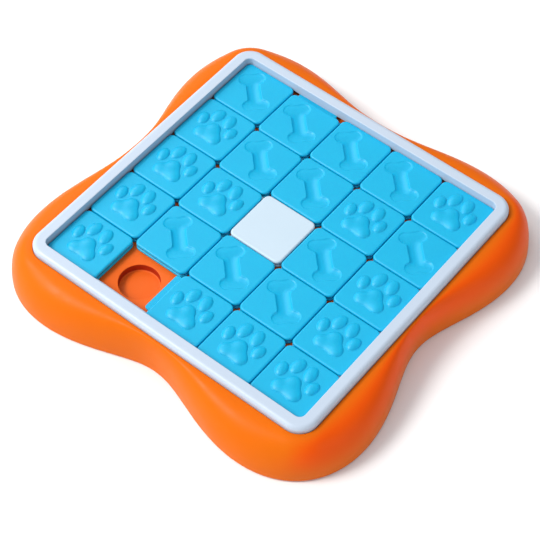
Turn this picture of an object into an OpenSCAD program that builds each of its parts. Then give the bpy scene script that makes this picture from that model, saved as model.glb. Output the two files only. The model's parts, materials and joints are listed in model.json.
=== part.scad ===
// Sliding-tile treat puzzle for dogs.
// A lobed base carries a tray of round treat wells. Tongued and grooved tiles slide over the
// tray, and a raised frame holds them in. One cell is empty, so that a line of tiles can move.
// X runs along the rows, Y from the front row to the back row, Z up from the floor.

/* [Tiles] */
// Distance between the centres of neighbouring cells
pitch = 50.8; // [48:0.1:56]
// Gap between neighbouring tiles
tile_gap = 0.8; // [0.6:0.1:2]
// Height of a tile without its figure
tile_h = 7; // [6.6:0.1:9]
// Radius of a tile's upright corners
tile_corner_r = 5; // [3:0.1:6]
// Radius along a tile's top edges
tile_edge_r = 1.6; // [0.6:0.1:1.8]
// Thickness of the lip under a tile's grooves
lip_h = 2.1; // [1.6:0.1:2.6]
// Height of a tile's grooves
groove_h = 2; // [1.8:0.1:2.6]
// Depth of a tile's grooves
groove_d = 7.5; // [6.8:0.1:8.5]
// How far a tile's tongues stick out
tongue_l = 5.5; // [4:0.1:5.6]
// How far a tongue stays back from the tile's rear or left corner
tongue_inset = 3.6; // [3:0.1:6]
// Radius of a tongue's corners
tongue_corner_r = 2.4; // [1:0.1:3]
// How far the tiles behind the empty cell stand slid to the front
column_slide = 3.5; // [0:0.5:50]

/* [Paw figure] */
// Height of the toes above the tile
toe_h = 1.8; // [1:0.1:2.4]
// Width of a toe at its wide end
toe_w = 9.4; // [7:0.1:9.8]
// Height of a toe's narrow end, as a share of its wide end's
toe_tip = 0.5; // [0.35:0.05:0.8]
// Length of an inner toe
inner_toe_l = 15.2; // [12:0.1:16]
// Length of an outer toe
outer_toe_l = 13; // [11:0.1:14]
// Distance of the inner toes from the middle line
inner_toe_x = 5.9; // [5.4:0.1:7]
// Place of the inner toes behind the tile's centre
inner_toe_y = 12.9; // [11:0.1:14]
// Distance of the outer toes from the middle line
outer_toe_x = 14.6; // [13.6:0.1:16]
// Place of the outer toes behind the tile's centre
outer_toe_y = 3.9; // [3:0.1:5]
// How far the inner toes lean in
toe_lean = 10; // [0:1:14]
// How far the outer toes lean out
toe_splay = 7; // [0:1:14]
// Height of the pad above the tile
pad_h = 2; // [1.2:0.1:2.6]
// Width of each of the pad's three lobes
pad_lobe_w = 11; // [9:0.1:12]
// Distance of the pad's two front lobes from the middle line
pad_lobe_x = 7.4; // [6:0.1:8.5]
// Place of the pad's front lobes, from the tile's centre
pad_front_y = -9.8; // [-11:0.1:-8]
// Place of the pad's rear lobe, from the tile's centre
pad_rear_y = -0.6; // [-2:0.1:0]
// Width of the pad's middle
pad_middle_w = 17.6; // [15:0.1:18.5]
// Place of the pad's middle, from the tile's centre
pad_middle_y = -6.2; // [-8:0.1:-5]

/* [Bone figure] */
// Distance between the two knuckle pairs of the bone
bone_l = 30.2; // [26:0.1:32]
// Distance between the two knuckles at one end
knuckle_gap = 10.6; // [8:0.1:11]
// Width of a knuckle
knuckle_w = 11.2; // [9:0.1:12.4]
// Depth of the knuckles below the tile's top
knuckle_d = 1.5; // [0.8:0.1:2]
// Width of the bone's shaft
shaft_w = 11.2; // [8:0.1:12]
// Depth of the shaft below the tile's top
shaft_d = 2.1; // [1:0.1:2.2]

/* [Treat tray] */
// Radius of a treat well
well_r = 16.6; // [12:0.1:18.5]
// Depth of a treat well
well_d = 7; // [5:0.1:10]
// Radius round the floor of a well
well_fillet_r = 1.4; // [1:0.1:4]
// Wall of the wells
cup_wall = 2; // [1.4:0.1:2.4]
// Thickness of the tray's deck
tray_t = 2.5; // [2:0.1:3.5]
// Height of the ribs under the deck
tray_rib_h = 5; // [3:0.1:6]
// Thickness of the ribs under the deck
tray_rib_t = 1.6; // [1.2:0.1:2.5]

/* [Frame] */
// Width of the frame seen from above
frame_w = 10.7; // [10:0.1:14]
// Height of the frame above the tiles
frame_rise = 6.3; // [5:0.1:12]
// Radius of the frame's rounded outer edge
bullnose_r = 4; // [3:0.1:6]
// Radius of the frame's inner top edge
inner_edge_r = 0.6; // [0.4:0.1:1.5]
// Wall of the frame, which is hollow below
frame_wall = 2; // [1.8:0.1:2.2]
// Thickness of the frame's top
frame_top_t = 3; // [2:0.1:4]

/* [Base] */
// Height of the base's rim above the floor
rim_z = 36.4; // [34:0.1:38.4]
// Width of the flat rim round the frame
rim_w = 1.8; // [1.4:0.1:3]
// How far the base reaches past the frame in the middle of a side
waist_reach = 6.2; // [4.8:0.1:12]
// How much further than the waists the four lobes reach
lobe_reach = 63.8; // [50:0.1:75]
// How square the shoulder of the base is, from 2 for an ellipse upwards
shoulder_n = 2.2; // [2:0.1:3]
// Wall of the base
base_wall = 2.6; // [2:0.1:3.2]
// Width of the bevel along the bottom edge of the base
hem_bevel = 1.2; // [0.6:0.1:1.6]
// Thickness of the ledge that carries the tray
ledge_t = 2.7; // [2:0.1:3.5]
// Width of the ledge under the tray
ledge_w = 11; // [10:0.1:14]
// Thickness of the ribs in the lobes
base_rib_t = 2; // [1.4:0.1:3]
// Angle between the three ribs in a lobe
base_rib_step = 11; // [8:0.5:13]
// Height of the deck above the floor
deck_z = 28.7; // [27:0.1:30]

/* [Feet] */
// Radius of a rubber foot
foot_r = 8.5; // [6:0.1:9.5]
// Thickness of a rubber foot
foot_t = 3; // [2.2:0.1:4]
// How far a foot stands out of the base
foot_proud = 1; // [0.6:0.1:1.4]
// Wall round a foot
foot_wall = 2; // [1.5:0.1:2.5]
// Place of a foot along X and Y, from the inner corner of the frame
foot_outset = 2.8; // [1:0.1:5]

/* [Screws] */
// Radius of a screw's shank
screw_r = 1.3; // [1:0.05:1.4]
// Radius of a screw's head
head_r = 2.8; // [2.2:0.1:3.2]
// Height of a screw's head
head_h = 1.8; // [1.2:0.1:2.2]
// How deep a screw goes into the frame
screw_grip = 8; // [5:0.1:9]
// Radius of the posts in the frame
post_r = 2.3; // [2.1:0.05:2.4]
// How far the posts stand into the frame's outer wall
post_bite = 0.9; // [0.6:0.1:1.2]
// Radius of the bosses under the base's ledge
boss_r = 4.2; // [3.6:0.1:4.6]
// Height of the bosses under the base's ledge
boss_h = 3; // [1.5:0.1:4]

/* [Clearances] */
// Gap between parts that slide on each other
slide_clear = 0.3; // [0.2:0.05:0.35]
// Gap between the outermost cells and the frame
field_clear = 0; // [0:0.1:1.5]
// Gap round the frame and the tray in the base
seat_clear = 0.35; // [0.2:0.05:0.5]
// Gap round a screw
screw_clear = 0.05; // [0.02:0.01:0.1]
// Gap round a foot
foot_clear = 0.1; // [0.05:0.05:0.2]

/* [Hidden] */
// One string per row from the front: p is a paw tile, b a bone tile, w the white tile
layout = ["p.ppp", "pbbbp", "ppwbp", "pbbpb", "bbbbp"];
cells = len(layout);
columns = "abcde";
orange = [0.96, 0.46, 0.11];
blue = [0.16, 0.75, 0.94];
white = [0.88, 0.91, 0.96];
rubber = [0.13, 0.13, 0.14];
steel = [0.62, 0.63, 0.65];
eps = 0.02;
// Radius of a toe between its two balls, as a share of theirs
toe_waist = 0.985;
// How deep the paw figure stands in its tile
paw_bite = 0.3;
$fn = 64;

tile_w = pitch - tile_gap;
tile_half = tile_w / 2;
field_half = cells * pitch / 2;
tile_z = deck_z + slide_clear;
tile_top_z = tile_z + tile_h;
groove_top = lip_h + groove_h;
tongue_z = lip_h + slide_clear;
tongue_h = groove_h - 2 * slide_clear;

// The frame stands on the deck, and its wall faces the tiles
opening_half = field_half + field_clear;
frame_half = opening_half + frame_w;
frame_inner_r = tile_corner_r + field_clear + tile_gap / 2;
frame_outer_r = frame_inner_r + frame_w;
frame_h = tile_z - deck_z + tile_h + frame_rise;
channel_h = frame_h - frame_top_t;
// Distance from the cell edges to the tips of the tongues and rails
tongue_reach = tongue_l - tile_gap / 2;

pocket_half = frame_half + seat_clear;
pocket_r = frame_outer_r + seat_clear;
tray_half = pocket_half - seat_clear;
tray_r = frame_outer_r;
ledge_z = deck_z - tray_t;
window_half = pocket_half - ledge_w;
window_r = max(pocket_r - ledge_w, 1);
rim_half = pocket_half + rim_w;
rim_r = pocket_r + rim_w;
waist_r = frame_half + waist_reach;

screw_line = frame_half - frame_wall - post_r + post_bite;
screw_offset = 1.5 * pitch;
screw_places = [for (q = [0:3], s = [-1, 1]) [q * 90, s * screw_offset]];
screw_bottom_z = ledge_z - ledge_t - boss_h;
foot_xy = opening_half + foot_outset;
foot_names = ["foot_front_left", "foot_front_right", "foot_back_right", "foot_back_left"];
foot_signs = [[-1, -1], [1, -1], [1, 1], [-1, 1]];

function tile_figure(c) = c == "p" ? "paw" : c == "b" ? "bone" : "center";
tiles = [
    for (row = [0:cells - 1], col = [0:cells - 1])
        if (layout[row][col] != ".")
            [str("tile_", columns[col], row + 1, "_", tile_figure(layout[row][col])), col, row]
];

// ---- General shapes ----

// Plan of a square with round corners
module rounded_square(half, r) {
    square([2 * half, 2 * (half - r)], center = true);
    square([2 * (half - r), 2 * half], center = true);
    for (x = [-1, 1], y = [-1, 1])
        translate([x * (half - r), y * (half - r)]) circle(r);
}

// Plan of a rectangle between two corners, with round corners
module rounded_rect(low, high, r) {
    w = high - low;
    translate(low + [r, 0]) square([w.x - 2 * r, w.y]);
    translate(low + [0, r]) square([w.x, w.y - 2 * r]);
    for (x = [low.x + r, high.x - r], y = [low.y + r, high.y - r])
        translate([x, y]) circle(r);
}

// Block with round corners, from one height to another
module slab(half, r, z0, z1) {
    translate([0, 0, z0]) linear_extrude(z1 - z0) rounded_square(half, r);
}

// Sweeps a profile round a square. x = 0 of the profile follows the line at distance half,
// which turns the corners with radius r.
module sweep_square(half, r) {
    side = 2 * (half - r);
    for (q = [0:3]) rotate(q * 90) {
        translate([half, side / 2, 0]) rotate([90, 0, 0]) linear_extrude(side) children();
        translate([half - r, half - r, 0]) rotate_extrude(angle = 90)
            translate([r, 0]) children();
    }
}

// Radius of a ball whose cap is w wide and h high
function cap_ball_r(w, h) = (w * w / 4 + h * h) / (2 * h);

// Solid from rings of points round the Z axis, each flat and with the same count, from the top
// ring to the bottom one
module loft(rings) {
    n = len(rings[0]);
    m = len(rings);
    ends = [[0, 0, rings[0][0].z], [0, 0, rings[m - 1][0].z]];
    polyhedron(
        points = [for (ring = rings, p = ring) p, each ends],
        faces = [
            for (k = [0:n - 1]) let (next = (k + 1) % n) each [
                [k, m * n, next],
                for (j = [0:m - 2]) each [
                    [j * n + k, (j + 1) * n + next, (j + 1) * n + k],
                    [j * n + k, j * n + next, (j + 1) * n + next]
                ],
                [(m - 1) * n + k, (m - 1) * n + next, m * n + 1]
            ]
        ]
    );
}

// ---- Tiles ----

// Section of a tile's border: upright side and rounded top edge
module tile_border_profile() {
    square([tile_corner_r, tile_h - tile_edge_r]);
    square([tile_corner_r - tile_edge_r, tile_h]);
    translate([tile_corner_r - tile_edge_r, tile_h - tile_edge_r]) intersection() {
        circle(tile_edge_r);
        square(tile_edge_r);
    }
}

module tile_body() {
    core = tile_half - tile_corner_r;
    translate([-core, -core, 0]) cube([2 * core, 2 * core, tile_h]);
    for (q = [0:3]) rotate(q * 90) {
        translate([core, core, 0]) rotate([90, 0, 0]) linear_extrude(2 * core)
            tile_border_profile();
        translate([core, core, 0]) rotate_extrude(angle = 90) tile_border_profile();
    }
}

// Grooves on the right and the front
module tile_grooves() {
    for (turn = [0, -90]) rotate(turn)
        translate([tile_half - groove_d, -pitch, lip_h]) cube([pitch, 2 * pitch, groove_h]);
}

// Tongues on the left and the back. A groove runs past one end of each.
module tile_tongues() {
    low = -tile_half + groove_d;
    high = tile_half - tongue_inset;
    root = tile_half - 2 * tongue_corner_r;
    tip = tile_half + tongue_l;
    translate([0, 0, tongue_z]) linear_extrude(tongue_h) {
        rounded_rect([-tip, low], [-root, high], tongue_corner_r);
        rounded_rect([-high, root], [-low, tip], tongue_corner_r);
    }
}

module plain_tile() {
    difference() {
        tile_body();
        tile_grooves();
    }
    tile_tongues();
}

// Long dome lying along Y, wide end to the front. Its cap stands h above z = 0.
module toe(l, w, h) {
    wide_r = cap_ball_r(w, h);
    sink = wide_r - h;
    narrow_r = sink + toe_tip * h;
    wide_half = w / 2;
    narrow_half = sqrt(narrow_r * narrow_r - sink * sink);
    run = l - wide_half - narrow_half;
    translate([0, wide_half - l / 2, -sink]) {
        sphere(wide_r);
        translate([0, run, 0]) sphere(narrow_r);
        rotate([-90, 0, 0])
            cylinder(r1 = toe_waist * wide_r, r2 = toe_waist * narrow_r, h = run);
    }
}

// Ball whose cap stands h above z = 0 and is w wide there
module cap_ball(w, h) {
    ball_r = cap_ball_r(w, h);
    translate([0, 0, h - ball_r]) sphere(ball_r);
}

// Three round lobes round a broad middle
module pad() {
    for (s = [-1, 1]) translate([s * pad_lobe_x, pad_front_y, 0]) cap_ball(pad_lobe_w, pad_h);
    translate([0, pad_rear_y, 0]) cap_ball(pad_lobe_w, pad_h);
    translate([0, pad_middle_y, 0]) cap_ball(pad_middle_w, pad_h);
}

module paw_figure() {
    intersection() {
        translate([-pitch / 2, -pitch / 2, -paw_bite]) cube([pitch, pitch, tile_h]);
        union() {
            for (s = [-1, 1]) {
                translate([s * inner_toe_x, inner_toe_y, 0]) rotate(s * toe_lean)
                    toe(inner_toe_l, toe_w, toe_h);
                translate([s * outer_toe_x, outer_toe_y, 0]) rotate(-s * toe_splay)
                    toe(outer_toe_l, toe_w, toe_h);
            }
            pad();
        }
    }
}

// Hollow in the shape of a bone along X, cut from above z = 0
module bone_figure() {
    shaft_r = cap_ball_r(shaft_w, shaft_d);
    shaft_l = bone_l - knuckle_gap / 2;
    mirror([0, 0, 1]) {
        translate([-shaft_l / 2, 0, shaft_d - shaft_r]) rotate([0, 90, 0])
            cylinder(r = shaft_r, h = shaft_l);
        for (x = [-1, 1]) {
            translate([x * shaft_l / 2, 0, 0]) cap_ball(shaft_w, shaft_d);
            for (y = [-1, 1]) translate([x * bone_l / 2, y * knuckle_gap / 2, 0])
                cap_ball(knuckle_w, knuckle_d);
        }
    }
}

// Tile of one cell, counted from the front left
module tile(col, row) {
    kind = layout[row][col];
    slide = layout[0][col] == "." ? column_slide : 0;
    translate([
        (col + 0.5) * pitch - field_half,
        (row + 0.5) * pitch - field_half - slide,
        tile_z
    ])
    color(kind == "w" ? white : blue) {
        difference() {
            plain_tile();
            if (kind == "b") translate([0, 0, tile_h]) rotate(-45) bone_figure();
        }
        if (kind == "p") translate([0, 0, tile_h]) paw_figure();
    }
}

// ---- Treat tray ----

// Half section of a cup, wall upright and floor edge rounded
module cup_profile(r, h, fillet) {
    translate([0, fillet]) square([r, h - fillet]);
    square([r - fillet, fillet]);
    translate([r - fillet, fillet]) intersection() {
        circle(fillet);
        translate([0, -fillet]) square(fillet);
    }
}

module treat_tray() {
    cup_z = deck_z - well_d - cup_wall;
    color(orange) difference() {
        union() {
            slab(tray_half, tray_r, ledge_z, deck_z);
            for_each_cell() translate([0, 0, cup_z]) rotate_extrude()
                cup_profile(well_r + cup_wall, deck_z - cup_z - eps, well_fillet_r + cup_wall);
            for (k = [1:cells - 1], turn = [0, 90]) rotate(turn)
                translate([k * pitch - field_half, 0, ledge_z - tray_rib_h / 2])
                    cube([tray_rib_t, 2 * field_half - pitch / 4, tray_rib_h], center = true);
        }
        for_each_cell() translate([0, 0, deck_z - well_d]) rotate_extrude()
            cup_profile(well_r, well_d + eps, well_fillet_r);
        for_each_screw() translate([0, 0, ledge_z - eps])
            cylinder(r = screw_r + screw_clear, h = tray_t + 2 * eps);
    }
}

module for_each_cell() {
    for (row = [0:cells - 1], col = [0:cells - 1])
        translate([(col + 0.5) * pitch - field_half, (row + 0.5) * pitch - field_half, 0])
            children();
}

// ---- Frame ----

// Section of the frame from its inner face outwards, standing on z = 0
module frame_profile() {
    flat_w = frame_w - bullnose_r;
    difference() {
        union() {
            square([frame_w, frame_h - bullnose_r]);
            square([flat_w, frame_h - inner_edge_r]);
            translate([inner_edge_r, 0]) square([flat_w - inner_edge_r, frame_h]);
            translate([inner_edge_r, frame_h - inner_edge_r]) circle(inner_edge_r);
            translate([flat_w, frame_h - bullnose_r]) circle(bullnose_r);
        }
        translate([frame_wall, -eps])
            square([frame_w - 2 * frame_wall, channel_h + eps]);
    }
}

module frame() {
    rail_tip = field_half - tongue_reach;
    rail_root = opening_half + frame_wall / 2;
    rail_end = field_half - tongue_inset;
    rail_z = tile_z + tongue_z;
    slot_top = tile_z + groove_top;
    color(white) {
        difference() {
            translate([0, 0, deck_z]) sweep_square(opening_half, frame_inner_r)
                frame_profile();
            // The left and back walls end above the tiles' tongues
            for (turn = [0, 90]) rotate(turn)
                translate([-field_half, opening_half - eps, deck_z - eps])
                    cube([2 * field_half, frame_wall + 2 * eps, slot_top - deck_z + eps]);
        }
        // Rails on the front and right walls run in the tiles' grooves
        translate([0, 0, rail_z]) linear_extrude(tongue_h) {
            rounded_rect([rail_tip, -rail_root], [rail_root, rail_end], frame_wall / 2);
            rounded_rect([-rail_end, -rail_root], [rail_root, -rail_tip], frame_wall / 2);
        }
        for_each_screw() translate([0, 0, deck_z]) difference() {
            cylinder(r = post_r, h = channel_h + eps);
            translate([0, 0, -eps])
                cylinder(r = screw_r + screw_clear, h = screw_grip + screw_clear + eps);
        }
    }
}

// ---- Screws ----

module for_each_screw() {
    for (place = screw_places)
        rotate(place[0]) translate([screw_line, place[1], 0]) children();
}

module frame_screws() {
    shank_l = deck_z + screw_grip - screw_bottom_z;
    color(steel) for_each_screw() translate([0, 0, screw_bottom_z]) {
        cylinder(r = screw_r, h = shank_l);
        translate([0, 0, -head_h]) rotate_extrude() cup_profile(head_r, head_h, head_h / 2);
    }
}

// ---- Base ----

// Polar angles of the outline's points: along the four sides, and round the rim's corners
side_steps = 20;
corner_steps = 6;
corner_xy = rim_half - rim_r;
side_angle = atan2(corner_xy, rim_half);
outline_angles = [
    for (q = [0:3]) each concat(
        [for (k = [0:side_steps - 1]) q * 90 - side_angle + k * 2 * side_angle / side_steps],
        [for (k = [0:corner_steps - 1])
            let (turn = k * 90 / corner_steps)
                q * 90 + atan2(corner_xy + rim_r * sin(turn), corner_xy + rim_r * cos(turn))]
    )
];

// Distance from the centre to a rounded square, along the polar angle a
function square_reach(half, r, a) =
    let (
        f = abs((a + 405) % 90 - 45),
        c = half - r,
        b = c * (cos(f) + sin(f))
    )
    half * tan(f) <= c ? half / cos(f) : b + sqrt(max(b * b - 2 * c * c + r * r, 0));

// Distance from the centre to the lobed outline at the floor: waists on the axes,
// lobes on the diagonals
function lobed_reach(a) = waist_r + lobe_reach * (1 - cos(4 * a)) / 2;

// Ring of the outline at a height, moved in by an inset
function outline_ring(inset, z) =
    [for (a = outline_angles)
        let (reach = lobed_reach(a) - inset) [reach * cos(a), reach * sin(a), z]];

// Ring of the flank, which is a quarter of a superellipse. turn goes from 0 at the rim to 90 at
// the bottom, and inset is the wall that the flank is moved in and down by.
function flank_ring(turn, inset) =
    let (
        spread = pow(sin(turn), 2 / shoulder_n),
        z = foot_proud + (rim_z - inset - foot_proud) * pow(cos(turn), 2 / shoulder_n)
    )
    [for (a = outline_angles)
        let (
            top = square_reach(rim_half, rim_r, a),
            reach = top + (lobed_reach(a) - top) * spread - inset
        )
        [reach * cos(a), reach * sin(a), z]];

flank_turns = [0, 14, 27, 39, 50, 60, 69, 77];

// The bevel goes on below the base's bottom plane, which is cut flat later
module base_outside() {
    loft([
        for (turn = flank_turns) flank_ring(turn, 0),
        outline_ring(0, foot_proud + hem_bevel),
        outline_ring(1.5 * hem_bevel, foot_proud - 0.5 * hem_bevel)
    ]);
}

// Hollow of the base, open to the floor
module base_inside() {
    loft([
        for (turn = flank_turns) flank_ring(turn, base_wall),
        outline_ring(base_wall, -foot_proud)
    ]);
}

module base_ribs() {
    rib_z = foot_proud + foot_t + base_wall;
    for (q = [0:3], k = [-1:1])
        rotate(45 + q * 90 + k * base_rib_step)
            translate([pocket_half, -base_rib_t / 2, rib_z])
                cube([lobe_reach, base_rib_t, rim_z]);
}

module foot_bosses() {
    for (s = foot_signs)
        translate([s.x * foot_xy, s.y * foot_xy, foot_proud])
            cylinder(r = foot_r + foot_clear + foot_wall, h = ledge_z - ledge_t);
}

module base() {
    collar_half = pocket_half + base_wall;
    color(orange) difference() {
        base_outside();
        translate([-pitch * cells, -pitch * cells, foot_proud - pitch])
            cube([2 * pitch * cells, 2 * pitch * cells, pitch]);
        slab(pocket_half, pocket_r, ledge_z, rim_z + 1);
        slab(window_half, window_r, -foot_proud, ledge_z + 1);
        difference() {
            base_inside();
            slab(collar_half, pocket_r + base_wall, ledge_z - ledge_t, rim_z + 1);
            base_ribs();
            foot_bosses();
            for_each_screw() translate([0, 0, screw_bottom_z])
                cylinder(r = boss_r, h = boss_h + ledge_t);
        }
        for (s = foot_signs)
            translate([s.x * foot_xy, s.y * foot_xy, -eps])
                cylinder(r = foot_r + foot_clear, h = foot_t + eps);
        for_each_screw() translate([0, 0, screw_bottom_z - eps])
            cylinder(r = screw_r + screw_clear, h = boss_h + ledge_t + 2 * eps);
    }
}

module foot(signs) {
    color(rubber) translate([signs.x * foot_xy, signs.y * foot_xy, 0])
        rotate_extrude() cup_profile(foot_r, foot_t, foot_proud / 2);
}

// ---- Nodes ----

base();
treat_tray();
frame();
frame_screws();
for (k = [0:3]) foot(foot_signs[k]);
for (t = tiles) tile(t[1], t[2]);
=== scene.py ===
"""Looks of the sliding-tile treat puzzle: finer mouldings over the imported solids, procedural
plastics, a pale floor, soft studio light and the photograph's camera."""

import json
import math

import bpy
import numpy as np
from mathutils import Matrix, Vector


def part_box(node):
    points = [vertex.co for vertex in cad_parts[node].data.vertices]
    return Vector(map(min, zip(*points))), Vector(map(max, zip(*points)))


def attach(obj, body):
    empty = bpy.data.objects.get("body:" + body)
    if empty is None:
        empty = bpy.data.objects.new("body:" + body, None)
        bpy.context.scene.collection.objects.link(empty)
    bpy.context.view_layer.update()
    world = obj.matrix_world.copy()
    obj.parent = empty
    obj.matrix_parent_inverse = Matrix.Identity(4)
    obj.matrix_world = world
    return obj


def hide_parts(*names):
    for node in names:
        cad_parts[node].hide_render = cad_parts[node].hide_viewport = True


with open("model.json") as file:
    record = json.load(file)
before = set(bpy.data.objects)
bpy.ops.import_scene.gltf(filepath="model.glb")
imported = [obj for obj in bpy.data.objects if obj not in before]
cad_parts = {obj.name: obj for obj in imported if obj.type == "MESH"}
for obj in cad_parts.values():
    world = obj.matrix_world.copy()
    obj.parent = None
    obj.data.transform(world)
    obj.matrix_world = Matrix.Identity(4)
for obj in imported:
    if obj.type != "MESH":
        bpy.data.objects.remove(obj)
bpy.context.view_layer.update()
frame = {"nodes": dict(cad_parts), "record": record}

MM = 0.001
HOUSING = "housing"
CELLS = 5

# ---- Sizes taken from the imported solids, in metres ----

CENTER_TILE = "tile_c3_center"
tile_low, tile_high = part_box(CENTER_TILE)
TILE_HALF = tile_high.x
TONGUE_L = -tile_low.x - TILE_HALF
TILE_H = tile_high.z - tile_low.z
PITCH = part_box("tile_d3_bone")[1].x - TILE_HALF
GRID_HALF = CELLS / 2 * PITCH
base_low, base_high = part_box("base")
FLOOR_GAP = base_low.z
RIM_Z = base_high.z
FRAME_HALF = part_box("frame")[1].x
DECK_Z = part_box("treat_tray")[1].z

# ---- Sizes that part.scad has too, in metres except for the last two ----

TILE_CORNER_R = 5 * MM
TILE_EDGE_R = 1.6 * MM
LIP_H = 2.1 * MM
GROOVE_H = 2 * MM
GROOVE_D = 7.5 * MM
TONGUE_INSET = 3.6 * MM
TONGUE_CORNER_R = 2.4 * MM
SLIDE_CLEAR = 0.3 * MM

TRAY_T = 2.5 * MM
WELL_R = 16.6 * MM
WELL_D = 7 * MM
WELL_FILLET_R = 1.4 * MM
CUP_WALL = 2 * MM
TRAY_RIB_H = 5 * MM
TRAY_RIB_T = 1.6 * MM
TRAY_RIB_STOP = PITCH / 8      # from the end of a rib to the edge of the cells

SEAT_CLEAR = 0.35 * MM
FRAME_OUTER_R = 16.1 * MM
WAIST_REACH = 6.2 * MM
LOBE_REACH = 63.8 * MM
RIM_W = 1.8 * MM
BASE_WALL = 2.6 * MM
LEDGE_T = 2.7 * MM
LEDGE_W = 11 * MM
BASE_RIB_T = 2 * MM
FOOT_R = 8.5 * MM
FOOT_T = 3 * MM
FOOT_WALL = 2 * MM
FOOT_CLEAR = 0.1 * MM
BOSS_R = 4.2 * MM
BOSS_H = 3 * MM
SCREW_HOLE_R = 1.35 * MM       # the screw with its clearance
SCREW_LINE = 134.3 * MM        # from the middle to the screws of each side
SCREW_ASIDE = 1.5 * PITCH      # from the middle of a side to each of its two screws
SHOULDER_N = 2.2               # exponent of the flank's curve
BASE_RIB_TURN = 11             # degrees from one rib of a lobe to the next

# ---- Small edges that only the looks have, in metres ----

SOFT_R = 0.3 * MM
WELL_EDGE_R = 0.6 * MM
RIM_EDGE_R = 0.5 * MM
HEM_R = 1.2 * MM
AXIS_R = 0.2 * MM              # the narrow hole that a lathed solid keeps round its axis
WELD = 0.001 * MM

# ---- Steps of the meshes ----

TILE_ARC_STEPS = 10
TILE_SIDE_STEPS = 64
TILE_TOP_RINGS = 96
TILE_EDGE_STEPS = 8
SKIN_STEPS = 384
TRIAL_STEPS = 40 * SKIN_STEPS
FLANK_STEPS = 40
FLANK_CROWDING = 1.15          # above 1 it draws the flank's rings towards the rim
CELL_STEPS = 64
EDGE_STEPS = 4
FILLET_STEPS = 6


# ---- Mesh helpers ----


def make_mesh(name, parts, material, sharp_angle):
    """A shaded mesh of collected points and faces."""
    mesh = bpy.data.meshes.new(name)
    mesh.from_pydata([tuple(map(float, v)) for v in parts.verts], [], parts.faces)
    mesh.validate()
    mesh.update()
    mesh.shade_smooth()
    mesh.set_sharp_from_angle(angle=math.radians(sharp_angle))
    mesh.materials.append(material)
    return mesh


def place_piece(name, mesh, body=HOUSING, place=(0, 0, 0)):
    """An object that rides on a body, for a mesh that other objects may share."""
    piece = bpy.data.objects.new(name, mesh)
    piece.location = place
    bpy.context.scene.collection.objects.link(piece)
    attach(piece, body)
    return piece


def bridge(start, count, rows, wrap_rows=False):
    """Quads between rows of points that go once round, the first at index start."""
    faces = []
    for j in range(rows if wrap_rows else rows - 1):
        low, high = start + j * count, start + (j + 1) % rows * count
        for k in range(count):
            after = (k + 1) % count
            faces.append((low + k, low + after, high + after, high + k))
    return faces


class Parts:
    """Collects points and faces of one mesh."""

    def __init__(self):
        self.verts, self.faces = [], []

    def rings(self, rings, wrap=False, bottom=False, top=False):
        """Adds a sleeve of rings, closed into a tube or with flat ends."""
        start, count = len(self.verts), len(rings[0])
        for ring in rings:
            self.verts.extend(ring)
        self.faces += bridge(start, count, len(rings), wrap)
        if bottom:
            self.faces.append(tuple(start + k for k in reversed(range(count))))
        if top:
            last = start + (len(rings) - 1) * count
            self.faces.append(tuple(last + k for k in range(count)))

    def lathe(self, centre, profile, steps=48):
        """Adds a closed profile of (radius, z) points turned round a vertical line."""
        turn = np.linspace(0, 2 * math.pi, steps, endpoint=False)
        circle = np.stack([np.cos(turn), np.sin(turn)], 1)
        self.rings([at_height(circle * r + centre, z) for r, z in profile], wrap=True)

    def weld(self):
        """Joins points that lie in the same place."""
        points = np.round(np.array(self.verts) / WELD).astype(int)
        _, first, number = np.unique(points, axis=0, return_index=True, return_inverse=True)
        number = number.ravel()
        self.verts = [self.verts[k] for k in first]
        self.faces = [tuple(int(number[k]) for k in face) for face in self.faces]


def quarter(steps):
    """Angles from 0 to a quarter turn, with both ends."""
    return [math.radians(90 * k / steps) for k in range(steps + 1)]


def rounded_outline(low, high, radius, arc_steps=8, side_steps=1):
    """Points round a rectangle with round corners, anticlockwise from the right side."""
    corners = []
    for sx, sy, first in ((1, 1, 0), (-1, 1, 90), (-1, -1, 180), (1, -1, 270)):
        x = (high[0] if sx > 0 else low[0]) - sx * radius
        y = (high[1] if sy > 0 else low[1]) - sy * radius
        turns = [math.radians(first + 90 * k / arc_steps) for k in range(arc_steps + 1)]
        corners.append([(x + radius * math.cos(t), y + radius * math.sin(t)) for t in turns])
    points = []
    for corner, following in zip(corners, corners[1:] + corners[:1]):
        points += corner
        start, end = np.array(corner[-1]), np.array(following[0])
        points += [tuple(start + (end - start) * k / side_steps) for k in range(1, side_steps)]
    return np.array(points)


def at_height(outline, z):
    """The outline's points with a height, which may be one number or one for each point."""
    return np.column_stack([outline, np.broadcast_to(z, len(outline))])


# ---- Shader nodes ----


def rgb(red, green, blue):
    """Linear colour of an sRGB colour in 0 to 255."""
    values = [v / 255 for v in (red, green, blue)]
    linear = [v / 12.92 if v <= 0.04045 else ((v + 0.055) / 1.055) ** 2.4 for v in values]
    return (*linear, 1)


def own_place(tree):
    """The point that is shaded, in the object's own coordinates."""
    return tree.nodes.new("ShaderNodeTexCoord").outputs["Object"]


def noise(tree, scale, detail):
    """A noise fixed to the object, with about scale waves to the metre."""
    node = tree.nodes.new("ShaderNodeTexNoise")
    node.inputs["Scale"].default_value = scale
    node.inputs["Detail"].default_value = detail
    tree.links.new(own_place(tree), node.inputs["Vector"])
    return node.outputs["Fac"]


def ramp(tree, value, start, end, low=0.0, high=1.0, kind="LINEAR"):
    """Goes from low to high while the value goes from start to end, and stops there."""
    node = tree.nodes.new("ShaderNodeMapRange")
    node.interpolation_type = kind
    node.inputs["From Min"].default_value = start
    node.inputs["From Max"].default_value = end
    node.inputs["To Min"].default_value = low
    node.inputs["To Max"].default_value = high
    tree.links.new(value, node.inputs["Value"])
    return node.outputs["Result"]


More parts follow.
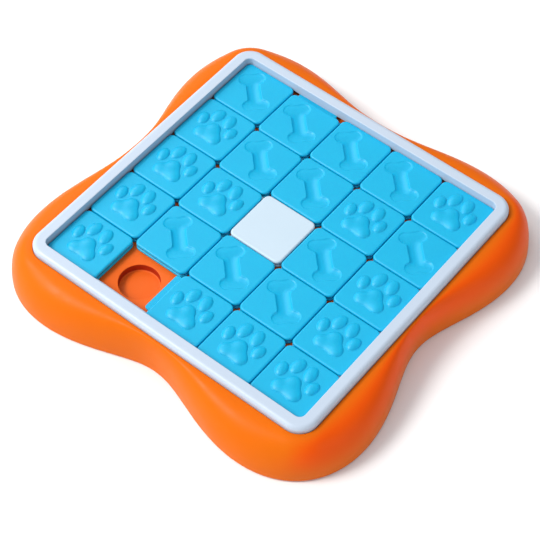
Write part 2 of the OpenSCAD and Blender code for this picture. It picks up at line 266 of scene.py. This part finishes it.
def extent(tree, vector, direction):
    """How far a vector goes in a direction."""
    node = tree.nodes.new("ShaderNodeVectorMath")
    node.operation = "DOT_PRODUCT"
    node.inputs[1].default_value = direction
    tree.links.new(vector, node.inputs[0])
    return node.outputs["Value"]


def worked_out(tree, operation, *values):
    """The result of an operation of the math node."""
    node = tree.nodes.new("ShaderNodeMath")
    node.operation = operation
    for value, socket in zip(values, node.inputs):
        tree.links.new(value, socket)
    return node.outputs["Value"]


# ---- Materials ----

PLASTIC_IOR = 1.48
COAT_ROUGHNESS = 0.2
CLOUD_SCALE, CLOUD_DETAIL = 22, 4
SMEAR_SCALE, SMEAR_DETAIL = 90, 5
SMEAR_LOW, SMEAR_HIGH = 0.3, 0.7
GRAIN_DETAIL = 2
BLEED = (4 * MM, 3 * MM, 2 * MM)


def moulded(name, light, deep, roughness, grain_mm=0.35, depth_mm=0.02, gloss_change=0.06,
            shine=0.5, coat=0.0, soft=0.0, bleed=BLEED):
    """A moulded plastic or rubber: clouded colour, a fine eroded grain and uneven gloss."""
    material = bpy.data.materials.new(name)
    material.use_nodes = True
    tree = material.node_tree
    shader = tree.nodes["Principled BSDF"]
    shader.inputs["IOR"].default_value = PLASTIC_IOR
    shader.inputs["Coat Weight"].default_value = coat
    shader.inputs["Coat Roughness"].default_value = COAT_ROUGHNESS
    shader.inputs["Specular IOR Level"].default_value = shine
    shader.inputs["Subsurface Weight"].default_value = soft
    shader.inputs["Subsurface Radius"].default_value = bleed
    shader.inputs["Subsurface Scale"].default_value = 1.0

    colour = tree.nodes.new("ShaderNodeMix")
    colour.data_type = "RGBA"
    colour.inputs["A"].default_value = deep
    colour.inputs["B"].default_value = light
    tree.links.new(noise(tree, CLOUD_SCALE, CLOUD_DETAIL), colour.inputs["Factor"])
    tree.links.new(colour.outputs["Result"], shader.inputs["Base Color"])

    smear = noise(tree, SMEAR_SCALE, SMEAR_DETAIL)
    low, high = roughness - gloss_change, roughness + gloss_change
    gloss = ramp(tree, smear, SMEAR_LOW, SMEAR_HIGH, low, high)
    tree.links.new(gloss, shader.inputs["Roughness"])

    bump = tree.nodes.new("ShaderNodeBump")
    bump.inputs["Strength"].default_value = 1
    bump.inputs["Distance"].default_value = depth_mm * MM
    tree.links.new(noise(tree, 1 / (grain_mm * MM), GRAIN_DETAIL), bump.inputs["Height"])
    tree.links.new(bump.outputs["Normal"], shader.inputs["Normal"])
    return material


def paint_light_and_shade(material, facing, start, end, colour, two_sided=False, heights=None):
    """Paints light and shade into a plastic's colour by the way its surface faces: turns it
    towards another colour where its surface faces one way, or also the opposite way where it
    is two-sided. With two heights it does so more from low to high."""
    tree = material.node_tree
    base_colour = tree.nodes["Principled BSDF"].inputs["Base Color"]
    plain = base_colour.links[0].from_socket
    turn = extent(tree, tree.nodes.new("ShaderNodeNewGeometry").outputs["Normal"], facing)
    if two_sided:
        turn = worked_out(tree, "ABSOLUTE", turn)
    strength = ramp(tree, turn, start, end, kind="SMOOTHSTEP")
    if heights:
        rise = ramp(tree, extent(tree, own_place(tree), (0, 0, 1)), *heights, kind="SMOOTHSTEP")
        strength = worked_out(tree, "MULTIPLY", strength, rise)
    mix = tree.nodes.new("ShaderNodeMix")
    mix.data_type = "RGBA"
    mix.inputs["B"].default_value = colour
    tree.links.new(plain, mix.inputs["A"])
    tree.links.new(strength, mix.inputs["Factor"])
    tree.links.new(mix.outputs["Result"], base_colour)


def base_orange():
    """Orange with painted shade: redder where the base faces right and stands high."""
    material = moulded("base_orange", light=rgb(219, 104, 6), deep=rgb(214, 99, 4), roughness=0.38,
                       grain_mm=0.8, depth_mm=0.03, shine=0.1, soft=0.05)
    # Painted shade: the right flank turns redder, most strongly high up near the frame.
    paint_light_and_shade(material, facing=(0.9, 0.3, 0), start=-0.05, end=0.5, colour=rgb(236, 84, 6),
           heights=(3 * MM, 30 * MM))
    return material


def tray_orange():
    """Orange with painted shade: deep red on the walls of the wells."""
    material = moulded("tray_orange", light=rgb(228, 99, 18), deep=rgb(222, 92, 14),
                       roughness=0.5, shine=0.25)
    # Painted shade: steep faces, such as the walls of the wells, turn deep red.
    paint_light_and_shade(material, facing=(0, 0, 1), start=0.9, end=0.2, colour=rgb(170, 44, 12),
           two_sided=True)
    return material


def tile_blue():
    """Blue that lets a little light through, with painted light: brighter on slopes that face back
    and right.
    """
    material = moulded("tile_blue", light=rgb(0, 171, 212), deep=rgb(0, 166, 208), roughness=0.44,
                       grain_mm=0.8, depth_mm=0.05, shine=0.42, soft=0.15,
                       bleed=(1 * MM, 3 * MM, 4 * MM))
    # Painted light: slopes that face back and right, which lie in shade, turn brighter and more
    # saturated.
    paint_light_and_shade(material, facing=(0.7, 0.7, 0), start=0.05, end=0.5, colour=rgb(0, 186, 232))
    return material


def screw_steel():
    """Bare steel with a fine grain."""
    material = moulded("screw_steel", light=rgb(170, 172, 176), deep=rgb(140, 142, 146),
                       roughness=0.35, grain_mm=0.2)
    material.node_tree.nodes["Principled BSDF"].inputs["Metallic"].default_value = 1
    return material


ORANGE = base_orange()
TRAY = tray_orange()
WHITE = moulded("frame_white", light=rgb(186, 199, 215), deep=rgb(182, 195, 211), roughness=0.38,
                depth_mm=0.008, shine=0.4, coat=0.06)
BLUE = tile_blue()
PALE = moulded("tile_white", light=rgb(190, 208, 221), deep=rgb(186, 204, 217), roughness=0.42,
               depth_mm=0.015, shine=0.3)
RUBBER = moulded("foot_rubber", light=rgb(46, 46, 48), deep=rgb(38, 38, 40), roughness=0.8,
                 grain_mm=0.6)
STEEL = screw_steel()


# ---- Figures on the tiles, all lengths in millimetres ----

EDGE_RISE, EDGE_LEVEL = 0.14, 0.1       # a dome's low step, and the level where it is complete
DOME_RISE, DOME_BEND = 1.2, 0.75

PAW_X = -0.5
INNER_TOE = (6, 12.3, 8, 5, 7.6)        # x, y, lean in degrees, half width and half length
OUTER_TOE = (14.3, 3.1, -10, 4.6, 6.6)
TOE_RISE = 2.7
PAD_LOBES = ((-7.2, -9.9, 5.5), (7.2, -9.9, 5.5), (0, -0.5, 5), (0, -6.2, 8.1))   # x, y, radius
PAD_CRISPNESS = 2
PAD_RISE = 2.6

BONE_MIDDLE = (-0.5, 0.9)
BONE_LEAN = -45
SHAFT_HALF, SHAFT_R = 12, 6
HEAD_X, HEAD_R = 14.2, 5.6
KNUCKLE_X, KNUCKLE_Y, KNUCKLE_R = 14.9, 5.6, 5.8
BONE_CRISPNESS = 3
BONE_EDGE_DEPTH, BONE_EDGE_LEVEL = 0.6, 0.35
BONE_DEPTH, BONE_MOST_LEVEL = 2.5, 1.1
FADE_END, FADE_L = 19, 13               # the shaft's depth runs out towards the bone's ends


def bowl(x, y, half_width, half_length):
    """1 in the middle of an ellipse along Y, 0 on its edge and less outside."""
    return 1 - (x / half_width) ** 2 - (y / half_length) ** 2


def joined(levels, crispness):
    """Smooth union of bowls."""
    return np.log(sum(np.exp(crispness * level) for level in levels)) / crispness


def domed(level):
    """Height of a dome over a bowl's level, from a low step at its edge to about 0.9."""
    inside = np.maximum(level, 0)
    step = EDGE_RISE * np.minimum(inside / EDGE_LEVEL, 1)
    return step + DOME_RISE * np.tanh(DOME_BEND * inside)


def turned(x, y, centre, degrees):
    """The points as seen from a place and a direction."""
    a = math.radians(degrees)
    dx, dy = x - centre[0], y - centre[1]
    return dx * math.cos(a) + dy * math.sin(a), -dx * math.sin(a) + dy * math.cos(a)


def paw_height(x, y):
    """Height of the raised paw over the tile."""
    x = x - PAW_X
    pad = joined([bowl(x - cx, y - cy, r, r) for cx, cy, r in PAD_LOBES], PAD_CRISPNESS)
    height = PAD_RISE * domed(pad)
    for side in (-1, 1):
        for toe_x, toe_y, lean, half_width, half_length in (INNER_TOE, OUTER_TOE):
            u, v = turned(x, y, (side * toe_x, toe_y), side * lean)
            height = np.maximum(height, TOE_RISE * domed(bowl(u, v, half_width, half_length)))
    return height


def bone_height(x, y):
    """Height of the sunk bone, which is below zero."""
    u, v = turned(x, y, BONE_MIDDLE, BONE_LEAN)
    bowls = [bowl(np.maximum(np.abs(u) - SHAFT_HALF, 0), v, SHAFT_R, SHAFT_R)]
    for end in (-1, 1):
        bowls.append(bowl(u - end * HEAD_X, v, HEAD_R, HEAD_R))
        for side in (-1, 1):
            knuckle_u, knuckle_v = u - end * KNUCKLE_X, v - side * KNUCKLE_Y
            bowls.append(bowl(knuckle_u, knuckle_v, KNUCKLE_R, KNUCKLE_R))
    level = joined(bowls, BONE_CRISPNESS)
    edge = 1 - (1 - np.clip(level / BONE_EDGE_LEVEL, 0, 1)) ** 2
    fade = np.clip((FADE_END - np.abs(u)) / FADE_L, 0, 1)
    smooth_fade = fade * fade * (3 - 2 * fade)
    hollow = BONE_DEPTH * smooth_fade * np.clip(level, 0, BONE_MOST_LEVEL)
    return -BONE_EDGE_DEPTH * edge - hollow


def flat_height(x, y):
    """Height of a bare tile."""
    return np.zeros_like(x)


# ---- Tiles ----


def tile_outline(inset, groove=0):
    """A tile's outline, drawn in by an inset, and on two sides by the groove too."""
    low = (-TILE_HALF + inset, -TILE_HALF + inset + groove)
    high = (TILE_HALF - inset - groove, TILE_HALF - inset)
    return rounded_outline(low, high, TILE_CORNER_R - inset, TILE_ARC_STEPS, TILE_SIDE_STEPS)


def tile_body(parts, relief):
    """The block with its two grooves, and the figure on its top side."""
    groove_top = LIP_H + GROOVE_H
    rings = [
        at_height(tile_outline(SOFT_R), 0),
        at_height(tile_outline(0), SOFT_R),
        at_height(tile_outline(0), LIP_H - SOFT_R),
        at_height(tile_outline(SOFT_R), LIP_H),
        at_height(tile_outline(SOFT_R, GROOVE_D), LIP_H),
        at_height(tile_outline(SOFT_R, GROOVE_D), groove_top),
        at_height(tile_outline(SOFT_R), groove_top),
        at_height(tile_outline(0), groove_top + SOFT_R),
    ]
    for turn in quarter(TILE_EDGE_STEPS):
        inset = TILE_EDGE_R * (1 - math.cos(turn))
        rings.append(at_height(tile_outline(inset), TILE_H - TILE_EDGE_R * (1 - math.sin(turn))))
    border = tile_outline(TILE_EDGE_R)
    for k in range(1, TILE_TOP_RINGS):
        flat = border * (1 - k / TILE_TOP_RINGS)
        height = relief(flat[:, 0] / MM, flat[:, 1] / MM) * MM
        rings.append(at_height(flat, TILE_H + height))
    parts.rings(rings, bottom=True)
    count = len(border)
    last = len(parts.verts) - count
    parts.verts.append((0, 0, TILE_H + relief(np.zeros(1), np.zeros(1))[0] * MM))
    parts.faces += [(last + k, last + (k + 1) % count, last + count) for k in range(count)]


def tile_tongues(parts):
    """The tongues on the left and back sides, which go into the neighbours' grooves."""
    low, high = -TILE_HALF + GROOVE_D, TILE_HALF - TONGUE_INSET
    root, tip = TILE_HALF - 2 * TONGUE_CORNER_R, TILE_HALF + TONGUE_L
    z0, z1 = LIP_H + SLIDE_CLEAR, LIP_H + GROOVE_H - SLIDE_CLEAR
    for near, far in (((-tip, low), (-root, high)), ((-high, root), (-low, tip))):
        edge = rounded_outline(near, far, TONGUE_CORNER_R)
        parts.rings([at_height(edge, z0), at_height(edge, z1)], bottom=True, top=True)


def tile_mesh(name, relief, material):
    """A tile round the origin, standing on z = 0."""
    parts = Parts()
    tile_body(parts, relief)
    tile_tongues(parts)
    return make_mesh(name, parts, material, sharp_angle=50)


def make_tiles():
    """One piece for each tile node, at the node's place."""
    kinds = {
        "paw": (tile_mesh("paw_tile", paw_height, BLUE), "tile_blue"),
        "bone": (tile_mesh("bone_tile", bone_height, BLUE), "tile_blue"),
        "center": (tile_mesh("bare_tile", flat_height, PALE), "tile_white"),
    }
    bodies = frame["record"]["behaviour"]["bodies"]
    body_of = {node: body for body, members in bodies.items() for node in members}
    for node in sorted(frame["nodes"]):
        if not node.startswith("tile_"):
            continue
        mesh, slot = kinds[node.rsplit("_", 1)[1]]
        low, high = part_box(node)
        place = (high.x - TILE_HALF, low.y + TILE_HALF, low.z)
        piece = place_piece(node.replace("tile_", "slider_"), mesh, body_of[node], place)
        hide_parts(node)


# ---- Base ----

POCKET_HALF = FRAME_HALF + SEAT_CLEAR
POCKET_R = FRAME_OUTER_R + SEAT_CLEAR
RIM_HALF = POCKET_HALF + RIM_W
RIM_R = POCKET_R + RIM_W
WINDOW_HALF = POCKET_HALF - LEDGE_W
WINDOW_R = POCKET_R - LEDGE_W
LEDGE_Z = DECK_Z - TRAY_T
LEDGE_LOW_Z = LEDGE_Z - LEDGE_T
LEDGE_MID_Z = LEDGE_Z - LEDGE_T / 2
WAIST_R = FRAME_HALF + WAIST_REACH
FOOT_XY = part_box("foot_back_right")[1].x - FOOT_R
RIB_TURNS = np.radians(np.linspace(76, 6, 16))      # where a rib's outer edge meets the flank


def square_reach(half, radius, angle):
    """Distance from the centre to a rounded square, along each polar angle in radians."""
    folded = np.abs((angle + math.pi / 4) % (math.pi / 2) - math.pi / 4)
    core = half - radius
    b = core * (np.cos(folded) + np.sin(folded))
    round_part = b + np.sqrt(np.maximum(b * b - 2 * core * core + radius * radius, 0))
    return np.where(half * np.tan(folded) <= core, half / np.cos(folded), round_part)


def collar_reach(angle):
    """Distance from the centre to the outside of the pocket's wall."""
    return square_reach(POCKET_HALF + BASE_WALL, POCKET_R + BASE_WALL, angle)


def lobed_reach(angle):
    """Distance from the centre to the outline at the floor."""
    return WAIST_R + LOBE_REACH * (1 - np.cos(4 * angle)) / 2


def flank(angle, turn, inset):
    """Reach and height of the flank. turn goes from 0 at the rim to a quarter at the bottom."""
    spread = math.sin(turn) ** (2 / SHOULDER_N)
    top = square_reach(RIM_HALF, RIM_R, angle)
    reach = top + (lobed_reach(angle) - top) * spread - inset
    z = FLOOR_GAP + (RIM_Z - inset - FLOOR_GAP) * math.cos(turn) ** (2 / SHOULDER_N)
    return reach, z


def round_ring(angle, reach, z):
    """Points at a distance from the centre along each angle."""
    return np.column_stack([reach * np.cos(angle), reach * np.sin(angle), np.full_like(angle, z)])


def skin_angles():
    """Angles that are even along the rim, so that its corners stay round."""
    trial = np.linspace(0, 2 * math.pi, TRIAL_STEPS, endpoint=False)
    reach = square_reach(RIM_HALF, RIM_R, trial)
    step = np.hypot(np.gradient(reach, trial), reach)
    travelled = np.cumsum(step) - step[0]
    wanted = np.linspace(0, travelled[-1] + step[-1], SKIN_STEPS, endpoint=False)
    return np.interp(wanted, travelled, trial)


def base_skin(parts):
    """The shell: ledge under the tray, pocket, rim, flank, hem and hollow."""
    angle = skin_angles()
    rings = []

    def square_ring(half, radius, z):
        rings.append(round_ring(angle, square_reach(half, radius, angle), z))

    square_ring(WINDOW_HALF, WINDOW_R, LEDGE_LOW_Z)
    square_ring(WINDOW_HALF, WINDOW_R, LEDGE_Z)
    square_ring(POCKET_HALF, POCKET_R, LEDGE_Z)
    for turn in quarter(EDGE_STEPS):
        step = RIM_EDGE_R * (1 - math.cos(turn))
        square_ring(POCKET_HALF + step, POCKET_R + step, RIM_Z - RIM_EDGE_R * (1 - math.sin(turn)))
    flank_turns = [
        math.radians(90 * (k / FLANK_STEPS) ** FLANK_CROWDING) for k in range(FLANK_STEPS)
    ]
    for turn in flank_turns:
        reach, z = flank(angle, turn, 0)
        if z > FLOOR_GAP + HEM_R:
            rings.append(round_ring(angle, reach, z))
    for turn in quarter(FILLET_STEPS):
        reach = lobed_reach(angle) - HEM_R * (1 - math.cos(turn))
        rings.append(round_ring(angle, reach, FLOOR_GAP + HEM_R * (1 - math.sin(turn))))
    rings.append(round_ring(angle, lobed_reach(angle) - BASE_WALL, FLOOR_GAP))
    collar = collar_reach(angle)
    for turn in reversed(flank_turns[::2]):
        reach, z = flank(angle, turn, BASE_WALL)
        limit = collar if z > LEDGE_LOW_Z else 0
        rings.append(round_ring(angle, np.maximum(reach, limit), z))
    rings.append(round_ring(angle, collar, LEDGE_LOW_Z))
    parts.rings(rings, wrap=True)


def base_rib(parts, angle):
    """An upright fin along one polar angle, from under the ledge out to the skin."""
    low_z = FLOOR_GAP + FOOT_T + BASE_WALL
    inner = float(square_reach(WINDOW_HALF, WINDOW_R, angle))
    shoulder = float(collar_reach(angle)) - BASE_WALL
    edge = [(inner, low_z)]
    for turn in RIB_TURNS:
        reach, z = flank(angle, turn, BASE_WALL / 2)
        if z > low_z and reach > shoulder:
            if len(edge) == 1:
                edge.append((float(reach), low_z))
            edge.append((float(reach), z))
    edge += [(shoulder, edge[-1][1]), (shoulder, LEDGE_MID_Z), (inner, LEDGE_MID_Z)]
    along = np.array([math.cos(angle), math.sin(angle)])
    aside = np.array([-along[1], along[0]]) * BASE_RIB_T / 2
    sides = [np.array([[*(along * r + s * aside), z] for r, z in edge]) for s in (-1, 1)]
    parts.rings(sides, bottom=True, top=True)


def base_ribs(parts):
    """Three fins in each of the four lobes."""
    for lobe in range(4):
        for k in (-1, 0, 1):
            base_rib(parts, math.radians(45 + 90 * lobe + k * BASE_RIB_TURN))


def base_bosses(parts):
    """Foot sockets and screw bosses under the ledge."""
    hole_r = FOOT_R + FOOT_CLEAR
    wall_r = hole_r + FOOT_WALL
    socket_z = FOOT_T + FOOT_CLEAR
    for sx in (-1, 1):
        for sy in (-1, 1):
            parts.lathe((sx * FOOT_XY, sy * FOOT_XY), [
                (wall_r, FLOOR_GAP), (wall_r, LEDGE_MID_Z), (AXIS_R, LEDGE_MID_Z),
                (AXIS_R, socket_z), (hole_r, socket_z), (hole_r, FLOOR_GAP),
            ])
    boss_z = LEDGE_LOW_Z - BOSS_H
    for side in range(4):
        turn = Matrix.Rotation(math.radians(90 * side), 2)
        for aside in (-SCREW_ASIDE, SCREW_ASIDE):
            centre = np.array(turn @ Vector((SCREW_LINE, aside)))
            parts.lathe(centre, [
                (BOSS_R, boss_z), (BOSS_R, LEDGE_MID_Z),
                (SCREW_HOLE_R, LEDGE_MID_Z), (SCREW_HOLE_R, boss_z),
            ], steps=32)


def make_base():
    """The base in three closed meshes that stand for one node."""
    builders = {"base_shell": base_skin, "base_ribs": base_ribs, "base_bosses": base_bosses}
    for name, build in builders.items():
        parts = Parts()
        build(parts)
        piece = place_piece(name, make_mesh(name, parts, ORANGE, sharp_angle=35))
        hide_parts("base")


# ---- Treat tray ----


def cell_middle(k):
    """Distance of a column or row of cells from the middle. A half lies between two cells."""
    return (k - (CELLS - 1) / 2) * PITCH


def tray_cell(parts, x, y):
    """One cell of the deck with its well: the top side and the underside."""
    angle = np.arange(CELL_STEPS) * 2 * math.pi / CELL_STEPS
    square = PITCH / 2 / np.cos((angle + math.pi / 4) % (math.pi / 2) - math.pi / 4)
    floor_z = DECK_Z - WELL_D
    cup_z = floor_z - CUP_WALL
    outer_r, round_r = WELL_R + CUP_WALL, WELL_FILLET_R + CUP_WALL

    top = [(square, DECK_Z)]
    top += [(WELL_R + WELL_EDGE_R * (1 - math.sin(turn)),
             DECK_Z - WELL_EDGE_R * (1 - math.cos(turn))) for turn in quarter(EDGE_STEPS)]
    top += [(WELL_R - WELL_FILLET_R * (1 - math.cos(turn)),
             floor_z + WELL_FILLET_R * (1 - math.sin(turn))) for turn in quarter(FILLET_STEPS)]
    top.append((WELL_R / 2, floor_z))

    under = [(WELL_R / 2, cup_z)]
    under += [(outer_r - round_r * (1 - math.sin(turn)),
               cup_z + round_r * (1 - math.cos(turn))) for turn in quarter(FILLET_STEPS)]
    under += [(outer_r, DECK_Z - TRAY_T), (square, DECK_Z - TRAY_T)]

    # The ring at the hub closes on the middle: the top side's last and the underside's first.
    for profile, hub, z in ((top, -1, floor_z), (under, 0, cup_z)):
        start = len(parts.verts)
        parts.rings([round_ring(angle, r, h) + [x, y, 0] for r, h in profile])
        ring = start + hub % len(profile) * CELL_STEPS
        middle = len(parts.verts)
        parts.verts.append((x, y, z))
        for k in range(CELL_STEPS):
            pair = (ring + k, ring + (k + 1) % CELL_STEPS)
            parts.faces.append((*(pair if hub else pair[::-1]), middle))


def tray_border(parts):
    """The deck's border round the cells, under the frame."""
    steps = CELL_STEPS // 4
    angle = math.radians(90 / steps) * np.arange(steps) - math.pi / 4
    side = np.concatenate([cell_middle(k) + PITCH / 2 * np.tan(angle) for k in range(CELLS)])
    ring = np.concatenate([
        np.column_stack([c * GRID_HALF - s * side, s * GRID_HALF + c * side])
        for c, s in ((1, 0), (0, 1), (-1, 0), (0, -1))
    ])
    around = np.arctan2(ring[:, 1], ring[:, 0])
    reach = square_reach(FRAME_HALF, FRAME_OUTER_R, around)
    rim = np.column_stack([reach * np.cos(around), reach * np.sin(around)])
    drawn_in = rim * (1 - WELL_EDGE_R / FRAME_HALF)
    low = DECK_Z - TRAY_T
    parts.rings([
        at_height(ring, low), at_height(drawn_in, low),
        at_height(rim, low + WELL_EDGE_R), at_height(rim, DECK_Z - WELL_EDGE_R),
        at_height(drawn_in, DECK_Z), at_height(ring, DECK_Z),
    ])


def tray_shell(parts):
    """The deck with all its wells, in one closed skin."""
    for row in range(CELLS):
        for column in range(CELLS):
            tray_cell(parts, cell_middle(column), cell_middle(row))
    tray_border(parts)
    parts.weld()


def tray_ribs(parts):
    """Upright ribs between the wells, under the deck, in both directions."""
    high = DECK_Z - TRAY_T / 2
    low = DECK_Z - TRAY_T - TRAY_RIB_H
    reach = GRID_HALF - TRAY_RIB_STOP
    for k in range(CELLS - 1):
        place = cell_middle(k + 0.5)
        near = (place - TRAY_RIB_T / 2, -reach)
        far = (place + TRAY_RIB_T / 2, reach)
        for corners in ((near, far), (near[::-1], far[::-1])):
            edge = rounded_outline(*corners, TRAY_RIB_T / 4, arc_steps=3)
            parts.rings([at_height(edge, low), at_height(edge, high)], bottom=True, top=True)


def make_tray():
    """The tray in two closed meshes that stand for one node."""
    for name, build in {"tray_wells": tray_shell, "tray_ribs": tray_ribs}.items():
        parts = Parts()
        build(parts)
        piece = place_piece(name, make_mesh(name, parts, TRAY, sharp_angle=40))
        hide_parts("treat_tray")


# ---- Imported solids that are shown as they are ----


def dress_solids():
    """Materials for the frame, the screws and the feet."""
    dress = {"frame": WHITE, "frame_screws": STEEL}
    for node, solid in frame["nodes"].items():
        material = RUBBER if node.startswith("foot_") else dress.get(node)
        if material:
            solid.data.materials.clear()
            solid.data.materials.append(material)


# ---- Stage and light ----

FLOOR_HALF = 8
FLOOR_LIGHT = (0.93, 0.93, 0.93, 1)
FLOOR_DEEP = (0.92, 0.92, 0.92, 1)
FLOOR_ROUGHNESS = 0.9
SKY_COLOUR = (0.93, 0.96, 1, 1)
SKY_BRIGHT_SIDE = (-0.6, -0.5, 0.62)
SKY_FROM, SKY_TO = -0.4, 0.9            # how far towards the bright side the change goes
SKY_DIM, SKY_BRIGHT = 0.2, 0.95


def make_floor():
    """A wide pale floor."""
    mesh = bpy.data.meshes.new("floor")
    half = FLOOR_HALF
    corners = [(-half, -half, 0), (half, -half, 0), (half, half, 0), (-half, half, 0)]
    mesh.from_pydata(corners, [], [(0, 1, 2, 3)])
    mesh.materials.append(moulded("floor_white", FLOOR_LIGHT, FLOOR_DEEP, FLOOR_ROUGHNESS))
    floor = bpy.data.objects.new("floor", mesh)
    bpy.context.scene.collection.objects.link(floor)


def towards(azimuth, elevation):
    """The direction from the object to a place, in degrees. Azimuth 0 is -Y and 90 is +X."""
    a, e = math.radians(azimuth), math.radians(elevation)
    return Vector((math.sin(a) * math.cos(e), -math.cos(a) * math.cos(e), math.sin(e)))


def area_light(name, azimuth, elevation, distance, size, power, colour):
    """A square soft light that faces the object."""
    back = towards(azimuth, elevation)
    data = bpy.data.lights.new(name, "AREA")
    data.shape = "SQUARE"
    data.size = size
    data.energy = power
    data.color = colour
    light = bpy.data.objects.new(name, data)
    light.location = back * distance
    light.rotation_mode = "QUATERNION"
    light.rotation_quaternion = back.to_track_quat("Z", "Y")
    bpy.context.scene.collection.objects.link(light)


def make_sky():
    """Pale surroundings, brightest high up on the front left."""
    world = bpy.data.worlds.new("studio")
    world.use_nodes = True
    tree = world.node_tree
    background = tree.nodes["Background"]
    background.inputs["Color"].default_value = SKY_COLOUR
    outward = tree.nodes.new("ShaderNodeTexCoord").outputs["Generated"]
    rise = extent(tree, outward, SKY_BRIGHT_SIDE)
    strength = ramp(tree, rise, SKY_FROM, SKY_TO, SKY_DIM, SKY_BRIGHT)
    tree.links.new(strength, background.inputs["Strength"])
    bpy.context.scene.world = world


def make_light():
    """The main light from the front left, a weaker one from the left that draws the edges,
    and a low warm one from the right, over soft surroundings."""
    make_sky()
    area_light("key", azimuth=-44, elevation=47, distance=3, size=1, power=72,
               colour=(1, 0.98, 0.95))
    area_light("left", azimuth=252, elevation=40, distance=1.9, size=1, power=8, colour=(1, 1, 1))
    area_light("fill", azimuth=95, elevation=12, distance=2.5, size=1.4, power=11,
               colour=(1, 0.94, 0.86))


# ---- Camera ----

# The camera that the tile corners give. It looks at a point over the middle of the toy, which
# stands off the picture's middle by ASIDE and UPWARDS. Those two and DISTANCE are in units of
# CAMERA_UNIT, angles are in degrees and FOCAL is in pixels of the photo.
CAMERA_UNIT = 50 * MM
TARGET_Z = 33.5 * MM
PHOTO_SIZE = 540
FOCAL = 1691
AZIMUTH = 37.73
ELEVATION = 53.80
ROLL = -1.11
ASIDE = 0.046
UPWARDS = 0.627
DISTANCE = 26.64
SENSOR_MM = 36
CLIP_START, CLIP_END = 0.05, 50


def make_camera():
    """The photograph's camera."""
    roll = math.radians(ROLL)
    back = towards(AZIMUTH, ELEVATION)
    right = towards(AZIMUTH + 90, 0)
    upward = back.cross(right)
    turned_right = right * math.cos(roll) - upward * math.sin(roll)
    turned_up = right * math.sin(roll) + upward * math.cos(roll)
    shift = turned_right * -ASIDE + turned_up * -UPWARDS
    place = Vector((0, 0, TARGET_Z)) + (shift + back * DISTANCE) * CAMERA_UNIT
    axes = Matrix((turned_right, turned_up, back)).transposed()
    data = bpy.data.cameras.new("camera")
    data.sensor_width = SENSOR_MM
    data.lens = FOCAL / PHOTO_SIZE * SENSOR_MM
    data.clip_start = CLIP_START
    data.clip_end = CLIP_END
    camera = bpy.data.objects.new("camera", data)
    camera.matrix_world = Matrix.Translation(place) @ axes.to_4x4()
    bpy.context.scene.collection.objects.link(camera)
    bpy.context.scene.camera = camera


make_camera()
make_light()
make_floor()
dress_solids()
make_tiles()
make_tray()
make_base()
bpy.context.scene.view_settings.view_transform = "Standard"
